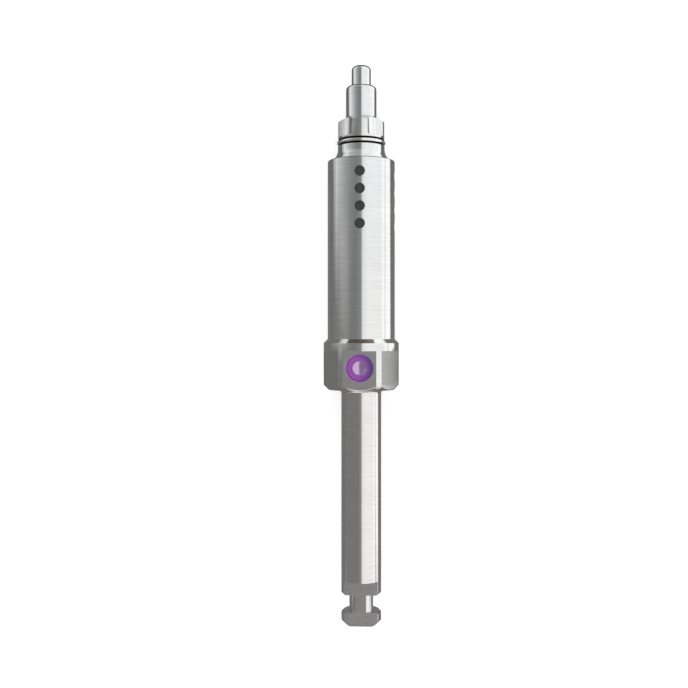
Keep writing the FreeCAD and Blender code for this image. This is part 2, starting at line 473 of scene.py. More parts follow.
@dataclass
class Wiring:
    """Adds and joins the nodes of one tree."""

    tree: NodeTree

    def feed(self, node: Node, inputs: dict) -> None:
        """Gives a node its inputs.

        Args:
            node: The node.
            inputs: A socket to join or a constant to set, by input name or number.
        """
        for key, value in inputs.items():
            if isinstance(value, NodeSocket):
                self.tree.links.new(value, node.inputs[key])
            else:
                node.inputs[key].default_value = value

    def add(self, kind: str, inputs: dict | None = None, **settings: object) -> Node:
        """Adds a node.

        Args:
            kind: The node's type name.
            inputs: A socket to join or a constant to set, by input name or number.
            settings: Properties of the node.

        Returns:
            The node.
        """
        node = self.tree.nodes.new(kind)
        for name, value in settings.items():
            setattr(node, name, value)
        self.feed(node, inputs or {})
        return node

    def math(self, operation: str, *values: object) -> NodeSocket:
        """Output of a Math node that works on sockets or numbers."""
        return self.add("ShaderNodeMath", dict(enumerate(values)), operation=operation).outputs[0]

    def product(self, *factors: object) -> NodeSocket:
        """Product of sockets and numbers, from the first to the last."""
        return reduce(partial(self.math, "MULTIPLY"), factors)

    def total(self, *terms: object) -> NodeSocket:
        """Sum of sockets and numbers, from the first to the last."""
        return reduce(partial(self.math, "ADD"), terms)

    def vector(self, operation: str, *values: object) -> NodeSocket:
        """Output of a Vector Math node that works on sockets or vectors."""
        return self.add("ShaderNodeVectorMath", dict(enumerate(values)), operation=operation).outputs[0]

    def scaled(self, vector: object, factor: NodeSocket) -> NodeSocket:
        """A vector or colour times a factor."""
        return self.add("ShaderNodeVectorMath", {0: vector, "Scale": factor}, operation="SCALE").outputs[0]

    def length(self, vector: NodeSocket) -> NodeSocket:
        """Length of a vector."""
        return self.add("ShaderNodeVectorMath", {0: vector}, operation="LENGTH").outputs["Value"]

    def place(self) -> NodeSocket:
        """Object coordinates, in metres."""
        return self.add("ShaderNodeTexCoord").outputs["Object"]

    def parts(self, vector: NodeSocket) -> Sequence[NodeSocket]:
        """X, Y and Z of a vector."""
        return self.add("ShaderNodeSeparateXYZ", {0: vector}).outputs

    def noise(self, vector: NodeSocket, settings: dict[str, float]) -> NodeSocket:
        """Noise from 0 to 1, with the settings by input name."""
        return self.add("ShaderNodeTexNoise", {"Vector": vector, **settings}).outputs["Fac"]

    def group(self, group: NodeTree, inputs: dict) -> Sequence[NodeSocket]:
        """Outputs of a node group that is given its inputs by name."""
        return self.add("ShaderNodeGroup", inputs, node_tree=group).outputs

    def mixed(self, share: NodeSocket, first: object, second: object) -> NodeSocket:
        """Mixes two colours.

        Args:
            share: Share of the second colour, from 0 to 1.
            first, second: The colours, or sockets that give them.

        Returns:
            The mixed colour.
        """
        first, second = ((*item, 1) if isinstance(item, tuple) else item for item in (first, second))
        return self.add("ShaderNodeMix", {0: share, 6: first, 7: second}, data_type="RGBA").outputs[2]

    def ranged(self, value: NodeSocket, ramp: Ramp, unit: float = 1.0, level: float = 1.0,
               kind: str = "LINEAR") -> NodeSocket:
        """Adds a Map Range node.

        Args:
            value: The socket that it reads.
            ramp: The change that it makes.
            unit: Unit of the ramp's start and end, in that of the socket.
            level: Factor for what it gives.
            kind: Its interpolation.

        Returns:
            Its output.
        """
        inputs = {"Value": value, "From Min": ramp.start * unit, "From Max": ramp.end * unit,
                  "To Min": ramp.first * level, "To Max": ramp.last * level}
        return self.add("ShaderNodeMapRange", inputs, interpolation_type=kind).outputs["Result"]


def principled(name: str) -> tuple[Material, Wiring, Node]:
    """Makes a material with one Principled shader.

    Args:
        name: Its name.

    Returns:
        The material, its wiring and its shader.
    """
    made = bpy.data.materials.new(name)
    made.use_nodes = True
    return made, Wiring(made.node_tree), made.node_tree.nodes["Principled BSDF"]


class NodeGroups:
    """The shader node groups that several finishes share, each built once."""

    # Output, share of the line rate, and an offset that keeps the two patterns apart.
    PATTERNS = (("Lines", 1.0, 0.0), ("Bands", 0.08, 31.0))
    PATTERN_NOISE = {"Scale": 1.0, "Detail": 3.0, "Roughness": 0.6}
    SMEAR_NOISE = {"Scale": 420.0, "Detail": 4.0, "Distortion": 0.6}
    SMEAR_CONTRAST = Ramp(0.42, 0.72)
    HAIR_STRETCH = {"Rotation": (0.4, 0.9, 0.5), "Scale": (9000, 700, 5000)}
    HAIR_NOISE = {"Scale": 1.0, "Detail": 1.0}
    HAIR_CONTRAST = Ramp(0.70, 0.78)
    _built: dict[str, NodeTree] = {}

    @classmethod
    def _new(cls, name: str, numbers: dict[str, float],
             outputs: Sequence[str]) -> tuple[Wiring, Sequence[NodeSocket], Node]:
        """Makes a group that reads a vector, with nothing in it yet.

        Args:
            name: Its name.
            numbers: Name and default value of each number that it reads as well.
            outputs: Name of each number that it gives.

        Returns:
            Its wiring, the sockets that it reads from and its output node.
        """
        tree = bpy.data.node_groups.new(name, "ShaderNodeTree")
        tree.interface.new_socket("Vector", in_out="INPUT", socket_type="NodeSocketVector")
        for label, value in numbers.items():
            socket = tree.interface.new_socket(label, in_out="INPUT", socket_type="NodeSocketFloat")
            socket.default_value = value
        for label in outputs:
            tree.interface.new_socket(label, in_out="OUTPUT", socket_type="NodeSocketFloat")
        cls._built[name] = tree
        wiring = Wiring(tree)
        return wiring, wiring.add("NodeGroupInput").outputs, wiring.add("NodeGroupOutput")

    @classmethod
    def tool_marks(cls) -> NodeTree:
        """Fine rings that a lathe tool leaves round the driver's axis.

        Returns:
            The group, with inputs Vector, Lines per mm and Break up, and outputs Lines and Bands from 0 to 1.
        """
        name = "tool_marks"
        if name in cls._built:
            return cls._built[name]
        wiring, given, result = cls._new(name, {"Lines per mm": 8.0, "Break up": 1.0}, ("Lines", "Bands"))
        upright = wiring.add("ShaderNodeMapping", {
            "Vector": given["Vector"], "Location": REST_POINT, "Rotation": (REST_TURN, 0, 0),
            "Scale": (MM, MM, MM)}, vector_type="TEXTURE").outputs[0]
        across = wiring.vector("NORMALIZE", wiring.vector("MULTIPLY", upright, (1, 1, 0)))
        around = wiring.scaled(across, given["Break up"])
        station = wiring.parts(upright)[2]
        for label, share, offset in cls.PATTERNS:
            along = wiring.product(station, wiring.product(given["Lines per mm"], share))
            height = wiring.add("ShaderNodeCombineXYZ", {2: wiring.total(along, offset)}).outputs[0]
            wiring.feed(result, {label: wiring.noise(wiring.vector("ADD", around, height), cls.PATTERN_NOISE)})
        return wiring.tree

    @classmethod
    def handling(cls) -> NodeTree:
        """Faint smears and hair scratches from handling and cleaning.

        Returns:
            The group, with input Vector, and outputs Smears and Scratches from 0 to 1.
        """
        name = "handling"
        if name in cls._built:
            return cls._built[name]
        wiring, given, result = cls._new(name, {}, ("Smears", "Scratches"))
        smears = wiring.noise(given["Vector"], cls.SMEAR_NOISE)
        stretched = wiring.add("ShaderNodeMapping", {"Vector": given["Vector"], **cls.HAIR_STRETCH}).outputs[0]
        hairs = wiring.noise(stretched, cls.HAIR_NOISE)
        wiring.feed(result, {"Smears": wiring.ranged(smears, cls.SMEAR_CONTRAST, kind=SMOOTH),
                             "Scratches": wiring.ranged(hairs, cls.HAIR_CONTRAST, kind=SMOOTH)})
        return wiring.tree


@dataclass(frozen=True)
class SteelFinish:
    """Bare stainless steel, as one kind of cut leaves it."""

    name: str
    colour: Colour = (0.62, 0.61, 0.60)
    roughness: float = 0.10
    roughness_spread: float = 0.06
    tone_spread: float = 0.08
    lines_per_mm: float = 12.0
    break_up: float = 1.0
    line_height: float = 0.20
    line_share: float = 0.65
    band_share: float = 0.35
    edge_radius: float = 0.015
    edge_samples: int = 4
    smear_dulling: float = 0.03
    scratch_dulling: float = 0.05

    def material(self) -> Material:
        """Builds the material.

        Returns:
            The material, with its roughness, tone and relief from the tool marks.
        """
        made, wiring, shader = principled(self.name)
        place = wiring.place()
        marks = wiring.group(NodeGroups.tool_marks(), {
            "Vector": place, "Lines per mm": self.lines_per_mm, "Break up": self.break_up})
        wear = wiring.group(NodeGroups.handling(), {"Vector": place})
        mixed = wiring.total(wiring.product(marks["Lines"], self.line_share),
                             wiring.product(marks["Bands"], self.band_share))
        tone = wiring.ranged(mixed, Ramp(*NOISE_RANGE, 1 - self.tone_spread, 1 + self.tone_spread))
        half = self.roughness_spread / 2
        rough = wiring.ranged(marks["Lines"], Ramp(*NOISE_RANGE, self.roughness - half, self.roughness + half))
        rough = wiring.total(rough, wiring.product(wear["Smears"], self.smear_dulling),
                             wiring.product(wear["Scratches"], self.scratch_dulling))
        edges = wiring.add("ShaderNodeBevel", {"Radius": self.edge_radius * MM}, samples=self.edge_samples)
        relief = wiring.add("ShaderNodeBump", {
            "Height": marks["Lines"], "Normal": edges.outputs["Normal"], "Strength": self.line_height,
            "Distance": RELIEF_DEPTH})
        wiring.feed(shader, {"Base Color": wiring.scaled(self.colour, tone), "Metallic": 1.0, "Roughness": rough,
                             "Normal": relief.outputs["Normal"]})
        return made


@dataclass(frozen=True)
class EnamelFinish:
    """Coloured enamel, cured in its recess."""

    CLOUD_NOISE = {"Scale": 2600.0, "Detail": 3.0}
    GRAIN_NOISE = {"Scale": 9000.0, "Detail": 2.0}
    name: str
    colour: Colour
    roughness: float
    metallic: float = 0.0
    specular: float = 0.5
    tone_spread: float = 0.10
    grain_height: float = 0.10
    smear_dulling: float = 0.06

    def material(self) -> Material:
        """Builds the material.

        Returns:
            The material, with slight clouds in its tone and a fine orange peel.
        """
        made, wiring, shader = principled(self.name)
        place = wiring.place()
        clouds, grain = wiring.noise(place, self.CLOUD_NOISE), wiring.noise(place, self.GRAIN_NOISE)
        wear = wiring.group(NodeGroups.handling(), {"Vector": place})
        tone = wiring.ranged(clouds, Ramp(*NOISE_RANGE, 1 - self.tone_spread, 1 + self.tone_spread))
        rough = wiring.total(self.roughness, wiring.product(wear["Smears"], self.smear_dulling))
        relief = wiring.add("ShaderNodeBump", {
            "Height": grain, "Strength": self.grain_height, "Distance": RELIEF_DEPTH})
        wiring.feed(shader, {"Base Color": wiring.scaled(self.colour, tone), "Metallic": self.metallic,
                             "Specular IOR Level": self.specular, "Roughness": rough,
                             "Normal": relief.outputs["Normal"]})
        return made


@dataclass(frozen=True)
class LacquerFinish(EnamelFinish):
    """Tinted lacquer in the dimple, with painted shade deeper along the wall and darker to the right.

    Its two ramps are in millimetres, from the dimple's axis and from its middle to the right.
    """

    # Painted shade: the wall's deeper colour at the left, and the darker colour it takes towards the right.
    wall_painted_tone: Colour = (0.46, 0.16, 0.56)
    painted_shade_colour: Colour = (0.19, 0.11, 0.36)
    wall_metallic: float = 0.25
    wall: Ramp = Ramp(0.36, 0.56)
    painted_shade_side: Ramp = Ramp(-0.10, 0.75)

    def material(self) -> Material:
        """Builds the material.

        Returns:
            The enamel, with the deeper painted shade from a set distance to the dimple's axis.
        """
        made = super().material()
        wiring, shader = Wiring(made.node_tree), made.node_tree.nodes["Principled BSDF"]
        inside = wiring.vector("SUBTRACT", wiring.place(), laid(0, 0, SIZES.dimple_station))
        across = wiring.vector("CROSS_PRODUCT", inside, (LAID_DOWN.to_3x3() @ FRONT).normalized())
        # Painted shade: the wall's deeper colour stands in for the darker tone of light bounced twice in the bowl.
        wall = wiring.ranged(wiring.length(across), self.wall, MM, kind=SMOOTH)
        # Painted shade: the wall darkens towards the right, the side turned away from the light.
        far = wiring.ranged(wiring.parts(inside)["X"], self.painted_shade_side, MM)
        rim = wiring.mixed(far, self.wall_painted_tone, self.painted_shade_colour)
        bowl = shader.inputs["Base Color"].links[0].from_socket
        metallic = wiring.ranged(wall, Ramp(0, 1, self.metallic, self.wall_metallic))
        wiring.feed(shader, {"Base Color": wiring.mixed(wall, bowl, rim), "Metallic": metallic})
        return made


TURNED_STEEL = SteelFinish("turned_steel")
MILLED_STEEL = SteelFinish("milled_steel", colour=(0.58, 0.57, 0.56), roughness=0.17, roughness_spread=0.06,
                           tone_spread=0.05, lines_per_mm=6.0, break_up=2.5, line_height=0.15)
GROUND_STEEL = SteelFinish("ground_steel", roughness=0.14, tone_spread=0.05, lines_per_mm=7.0, line_height=0.15)
# Painted shade: a near-black steel for the ring groove, standing in for the shade between its walls and the ring.
GROOVE_SHADE_PAINT = SteelFinish("painted_groove_shade", colour=(0.025, 0.024, 0.023), roughness=0.45, tone_spread=0.04)
SPRING_STEEL = SteelFinish("spring_steel", colour=(0.66, 0.65, 0.64), roughness=0.12, tone_spread=0.04,
                           lines_per_mm=3.0, break_up=9.0, line_height=0.10)
PURPLE_ENAMEL = LacquerFinish("purple_enamel", colour=(0.49, 0.32, 0.55), roughness=0.10, metallic=0.75)
BLACK_ENAMEL = EnamelFinish("black_enamel", colour=(0.042, 0.042, 0.042), roughness=0.55, specular=0.15)
# The finish of each body surface (painted shade in the groove) and the steepest angle in degrees that stays smooth
# on it.
BODY_SURFACES = {Surface.TURNED: (TURNED_STEEL, 33), Surface.MILLED: (MILLED_STEEL, 8),
                 Surface.GROUND: (GROUND_STEEL, 20), Surface.SHADED: (GROOVE_SHADE_PAINT, 33)}


@dataclass
class SteelBody:
    """The turned and milled body, from latch end to tip."""

    sizes: DriverSizes = SIZES
    break_radius: float = 0.015
    root_radius: float = 0.03
    land_break: float = 0.01
    allowance: float = 1.0
    groove_margin: float = 4e-4
    turned_steps: int = 256
    fillet_steps: int = 12
    flare_steps: int = 16
    pilot_steps: int = 10
    tip_steps: int = 14
    flute_steps: int = 160
    flute_end_steps: int = 6
    drill_steps: int = 64
    ball_steps: int = 96

    def latch_and_shank(self) -> list[Corner]:
        """Draws the latch end and the shank up to the collar.

        Returns:
            The corners of the half section.
        """
        size, fine, root = self.sizes, self.break_radius, self.root_radius
        shank, groove = size.shank_diameter / 2, size.latch_groove_diameter / 2
        head, groove_end = size.latch_head_length, size.latch_head_length + size.latch_groove_width
        edge, chamfer = size.latch_edge_break, size.latch_end_chamfer
        return [
            Corner(shank - chamfer, 0, fine), Corner(shank, chamfer, fine),
            Corner(shank, head - edge, fine), Corner(shank - edge, head, fine),
            Corner(groove, head, root), Corner(groove, groove_end, root),
            Corner(shank - edge, groove_end, fine), Corner(shank, groove_end + edge, fine),
            Corner(shank, size.shank_length, size.shank_fillet, self.fillet_steps)]

    def collar_and_barrel(self) -> list[Corner]:
        """Draws the collar and the barrel up to its far face.

        Returns:
            The corners of the half section.
        """
        size, fine = self.sizes, self.break_radius
        collar, barrel = size.flange_diameter / 2, size.barrel_diameter / 2
        chamfer, edge = size.collar_lower_chamfer, size.barrel_edge_break
        return [
            Corner(collar - chamfer, size.shank_length, fine), Corner(collar, size.shank_length + chamfer, fine),
            Corner(collar, size.barrel_base - size.collar_slope_length, fine),
            Corner(barrel, size.barrel_base, fine),
            Corner(barrel, size.barrel_end - edge, fine), Corner(barrel - edge, size.barrel_end, fine)]

    def neck_and_groove(self) -> list[Corner]:
        """Draws the flare, the neck and the groove of the ring.

        Returns:
            The corners of the half section.
        """
        size = self.sizes
        neck, groove = size.neck_diameter / 2, size.ring_groove_diameter / 2
        slope = math.radians(size.flare_angle)
        curve = []
        for step in range(self.flare_steps + 1):
            angle = slope * (1 - step / self.flare_steps)
            curve.append(Corner(neck + size.flare_radius * (1 - math.cos(angle)),
                                size.neck_base - size.flare_radius * math.sin(angle)))
        rim = curve[0].radius + (curve[0].station - size.barrel_end) * math.tan(slope)
        return [Corner(rim, size.barrel_end), *curve, Corner(neck, size.groove_base, self.break_radius),
                Corner(groove, size.groove_base), Corner(groove, size.disc_base)]

    def drive_and_tip(self) -> list[Corner]:
        """Draws the disc, the round blank of the lobes, the cone, the pilot and the tip.

        Returns:
            The corners of the half section.
        """
        size, fine, root = self.sizes, self.break_radius, self.root_radius
        drive, pilot, tip = size.drive_diameter / 2, size.pilot_diameter / 2, size.tip_diameter / 2
        return [
            Corner(drive, size.disc_base, fine), Corner(drive, size.cone_base, fine),
            Corner(pilot, size.pilot_base, root),
            Corner(pilot, size.tip_base, size.pilot_rounding, self.pilot_steps),
            Corner(tip, size.tip_base, root), Corner(tip, size.total_length, size.tip_rounding, self.tip_steps)]

    def blank(self) -> Object:
        """Turns the body.

        Returns:
            The upright body as it leaves the lathe.
        """
        corners = [Corner(0, 0), *self.latch_and_shank(), *self.collar_and_barrel(), *self.neck_and_groove(),
                   *self.drive_and_tip(), Corner(0, self.sizes.total_length)]
        mesh = bmesh.new()
        spin_profile(mesh, outline(corners), self.turned_steps)
        self.paint_groove_shade(mesh)
        return mesh_object("steel_body", mesh, *[finish.material() for finish, _ in BODY_SURFACES.values()])

    def paint_groove_shade(self, mesh: BMesh) -> None:
        """Paints shade into the ring groove, as a near-black steel where the shade falls between groove and ring.

        Args:
            mesh: The mesh of the turned body.
        """
        low, high = self.sizes.groove_base - self.groove_margin, self.sizes.disc_base + self.groove_margin
        for face in mesh.faces:
            if low < face.calc_center_median().z < high:
                face.material_index = Surface.SHADED.value

    def hexagon_sleeve(self, mesh: BMesh) -> None:
        """Adds the sleeve that leaves the hexagon standing, with its edges lightly broken.

        Args:
            mesh: The mesh of the cutters.
        """
        size = self.sizes
        flat, land = size.hexagon_across_flats / 2, size.flange_diameter / 2
        lean = math.acos(flat / land) / 2
        broken = land * math.cos(lean) - self.land_break * math.sin(lean) / 2
        sides: list[Point] = []
        for direction in range(-90, 270, 60):
            middle = math.radians(direction)
            sides += [(middle - lean, broken), (middle, flat), (middle + lean, broken)]
        start = size.shank_length - self.allowance
        inner = [mesh.verts.new(corner) for corner in half_plane_corners(sides, start)]
        outer = [mesh.verts.new((vert.co.xy.normalized() * (land + self.allowance)).to_3d() + AXIS * start)
                 for vert in inner]
        rings = [mesh.edges.new(pair) for ring in (inner, outer) for pair in zip(ring, ring[1:] + ring[:1])]
        base = bmesh.ops.bridge_loops(mesh, edges=rings)["faces"]
        raise_faces(mesh, base, size.hexagon_length + self.allowance)

    def drive_flat_block(self, mesh: BMesh) -> None:
        """Adds the block that mills the flat of the latch end.

        Args:
            mesh: The mesh of the cutters.
        """
        size = self.sizes
        side = size.shank_diameter + 2 * self.allowance
        flat = size.drive_flat_thickness - size.shank_diameter / 2
        corners = ((-side / 2, -flat - side), (side / 2, -flat - side), (side / 2, -flat), (-side / 2, -flat))
        base = mesh.faces.new([mesh.verts.new((x, y, -self.allowance)) for x, y in corners])
        raise_faces(mesh, [base], size.drive_flat_length + self.allowance)

    def flutes(self, mesh: BMesh) -> None:
        """Adds the round bars that leave the concave flutes, with a lobe at the front.

        Args:
            mesh: The mesh of the cutters.
        """
        size = self.sizes
        radius, base, end = size.flute_radius, size.lobe_base, size.pilot_base + self.allowance / 2
        bar = outline([Corner(0, base), Corner(radius, base, size.flute_end_rounding, self.flute_end_steps),
                       Corner(radius, end), Corner(0, end)])
        for index in range(size.lobe_count):
            verts = spin_profile(mesh, bar, self.flute_steps)
            bmesh.ops.translate(mesh, verts=verts, vec=FRONT * (size.flute_floor_diameter / 2 + radius))
            turn = Matrix.Rotation(FULL_TURN * (index + 0.5) / size.lobe_count, 3, "Z")
            bmesh.ops.rotate(mesh, verts=verts, matrix=turn)

    def dot_drills(self, mesh: BMesh) -> None:
        """Adds the flat ended drills of the depth dots.

        Args:
            mesh: The mesh of the cutters.
        """
        size = self.sizes
        radius, floor = size.dot_diameter / 2, size.barrel_diameter / 2 - size.dot_depth
        for row in DOT_ROWS.values():
            for index in range(size.dots_in_row):
                made = bmesh.ops.create_cone(mesh, cap_ends=True, segments=self.drill_steps, radius1=radius,
                                             radius2=radius, depth=self.allowance)["verts"]
                bmesh.ops.translate(mesh, verts=made, vec=AXIS * (floor + self.allowance / 2))
                place_on_side(mesh, made, size.dot_station(index), row)

    def dimple_ball(self, mesh: BMesh) -> None:
        """Adds the ball that leaves the round dimple in the hexagon's front flat.

        Args:
            mesh: The mesh of the cutter.
        """
        size = self.sizes
        made = bmesh.ops.create_uvsphere(mesh, u_segments=self.ball_steps, v_segments=self.ball_steps // 2,
                                         radius=size.dimple_diameter / 2)["verts"]
        bmesh.ops.translate(mesh, verts=made, vec=AXIS * size.hexagon_across_flats / 2)
        place_on_side(mesh, made, size.dimple_station, 0)

    def build(self) -> None:
        """Builds the whole body."""
        body = self.blank()
        for surface, cutters in ((Surface.MILLED, (self.hexagon_sleeve, self.drive_flat_block)),
                                 (Surface.GROUND, (self.flutes, self.dot_drills)),
                                 (Surface.GROUND, (self.dimple_ball,))):
            mesh = bmesh.new()
            for add_to in cutters:
                add_to(mesh)
            for face in mesh.faces:
                face.material_index = surface.value
            cut(body, mesh_object("cutter", mesh))
        hand_over(body, [angle for _, angle in BODY_SURFACES.values()], ["driver_body"])


@dataclass
class SpringRing:
    """The split ring that stands out of its groove."""

    sizes: DriverSizes = SIZES
    steps: int = 200
    inner_rounding: float = 0.02
    outer_steps: int = 8
    smooth_angle: float = 40

    def build(self) -> None:
        """Builds the ring, with its split at the back."""
        size = self.sizes
        inner = size.ring_groove_diameter / 2 + size.ring_floor_clearance
        outer = inner + size.ring_thickness
        base = size.groove_base + size.ring_side_clearance
        top = size.disc_base - size.ring_side_clearance
        corners = [Corner(inner, base, self.inner_rounding),
                   Corner(outer, base, size.ring_rounding, self.outer_steps),
                   Corner(outer, top, size.ring_rounding, self.outer_steps),
                   Corner(inner, top, self.inner_rounding)]
        split = size.ring_split_width / outer
        mesh = bmesh.new()
        spin_profile(mesh, outline(corners, closed=True), self.steps, FULL_TURN - split, closed=True)
        bmesh.ops.rotate(mesh, verts=mesh.verts, matrix=Matrix.Rotation(math.pi / 2 + split / 2, 3, "Z"))
        ring = mesh_object("spring_ring", mesh, SPRING_STEEL.material())
        hand_over(ring, [self.smooth_angle], ["retaining_ring"])


@dataclass
class ColourDimple:
    """The purple lining of the round dimple in the hexagon's front flat."""

    sizes: DriverSizes = SIZES
    steps: int = 128
    arc_steps: int = 32
    lining: float = 0.09
    clearance: float = 0.002
    rim: float = 0.03
    rim_drop: float = 0.003
    bowl_drop: float = 0.012
    bowl_break: float = 0.006
    wall_drop: float = 0.006
    wall_break: float = 0.004
    smooth_angle: float = 50

    def section(self) -> list[Point]:
        """Draws the lining's half section: the bowl, its rim and the wall that it lies against.

        Returns:
            Radius and height of each point, counted from the flat.
        """
        outer = self.sizes.dimple_diameter / 2 - self.clearance
        inner, depth = outer - self.rim, outer - self.lining
        ball = (inner ** 2 + depth ** 2) / (2 * depth)
        reach = math.asin(min(1.0, inner / ball))
        points: list[Point] = []
        for step in range(self.arc_steps):
            angle = reach * step / self.arc_steps
            points.append((ball * math.sin(angle), ball - depth - ball * math.cos(angle)))
        points += [(inner, -self.bowl_drop), (inner + self.bowl_break, -self.rim_drop),
                   (outer - self.wall_break, -self.rim_drop)]
        for step in range(self.arc_steps + 1):
            angle = math.pi / 2 * (1 - step / self.arc_steps)
            points.append((outer * math.sin(angle), min(-self.wall_drop, -outer * math.cos(angle))))
        return points

    def build(self) -> None:
        """Builds the lining as a bowl with a rounded rim."""
        mesh = bmesh.new()
        verts = spin_profile(mesh, self.section(), self.steps)
        bmesh.ops.translate(mesh, verts=verts, vec=AXIS * self.sizes.hexagon_across_flats / 2)
        place_on_side(mesh, verts, self.sizes.dimple_station, 0)
        lining = mesh_object("dimple_lining", mesh, PURPLE_ENAMEL.material())
        hand_over(lining, [self.smooth_angle], ["dimple_enamel"])


@dataclass
class DepthDots:
    """The black enamel of the depth dots, in four rows."""

    sizes: DriverSizes = SIZES
    clearance: float = 0.002
    recess: float = 0.015
    dish: float = 0.01
    edge_break: float = 0.006
    edge_drop: float = 0.008
    skirt: float = 0.08
    ring_steps: int = 6
    steps: int = 64
    smooth_angle: float = 50

    def fill(self, mesh: BMesh, station: float, row: float) -> None:
        """Adds the enamel of one dot, whose top follows the barrel and sinks slightly to its middle.

        Args:
            mesh: The mesh that takes it.
            station: The dot's station.
            row: Angle of its row from the front, in degrees.
        """
        radius = self.sizes.dot_diameter / 2 - self.clearance
        barrel = self.sizes.barrel_diameter / 2
        points = [(radius * step / self.ring_steps, 0.0) for step in range(self.ring_steps)]
        points += [(radius - self.edge_break, 0.0), (radius, -self.edge_drop), (radius, -self.skirt),
                   (0.0, -self.skirt)]
        verts = spin_profile(mesh, points, self.steps)
        for vert in verts:
            if vert.co.z < -self.skirt / 2:
                vert.co.z = barrel - self.sizes.dot_depth + self.clearance
                continue
            surface = math.sqrt(barrel ** 2 - vert.co.x ** 2) - self.recess
            sunk = self.dish * (1 - min(1.0, vert.co.xy.length / radius) ** 2)
            vert.co.z = vert.co.z + surface - sunk
        place_on_side(mesh, verts, station, row)

    def build(self) -> None:
        """Builds one piece for each row."""
        finish = BLACK_ENAMEL.material()
        dots = range(self.sizes.dots_in_row)
        for name, row in DOT_ROWS.items():
            mesh = bmesh.new()
            for index in dots:
                self.fill(mesh, self.sizes.dot_station(index), row)
            piece = mesh_object(f"depth_marks_{name}", mesh, finish)
            hand_over(piece, [self.smooth_angle], [f"depth_dot_{name}_{i + 1}" for i in dots])


@dataclass(frozen=True)
class Softbox:
    """A rectangular lamp whose long side runs along Y, in metres.

    Lamps of a radiance of 1 all round light a white card to white.
    """

    name: str
    centre: tuple[float, float, float]
    shines: tuple[float, float, float]
    width: float
    radiance: float
    length: float = 0.90

    def hang(self) -> None:
        """Adds the lamp, which the steel doesn't mirror: the tent stands in its place there."""
        data = bpy.data.lights.new(self.name, "AREA")
        data.shape = "RECTANGLE"
        data.size, data.size_y = self.width, self.length
        data.energy = self.radiance * math.pi * self.width * self.length
        lamp = bpy.data.objects.new(self.name, data)
        bpy.context.scene.collection.objects.link(lamp)
        lamp.location = self.centre
        lamp.visible_glossy = False
        face_away(lamp, Vector((0, 1, 0)), -Vector(self.shines).normalized())


@dataclass(frozen=True)
class Patch:
    """A soft edged rectangle on the ground that is darker than what lies round it, in millimetres."""

    across: Point
    along: Point
    dimming: float
    edge: float = 0.5

    def dim(self, wiring: Wiring, brightness: NodeSocket, x: NodeSocket, y: NodeSocket) -> NodeSocket:
        """Darkens a brightness inside the rectangle.

        Args:
            wiring: The card's tree.
            brightness: The brightness.
            x, y: Place on the ground, in metres.

        Returns:
            The brightness with the rectangle in it.
        """
        masks = []
        for place, (low, high) in ((x, self.across), (y, self.along)):
            masks.append(wiring.product(wiring.ranged(place, Ramp(low, low + self.edge), MM),
                                        wiring.ranged(place, Ramp(high - self.edge, high, 1, 0), MM)))
        return wiring.product(brightness, wiring.math("SUBTRACT", 1, wiring.product(*masks, self.dimming)))


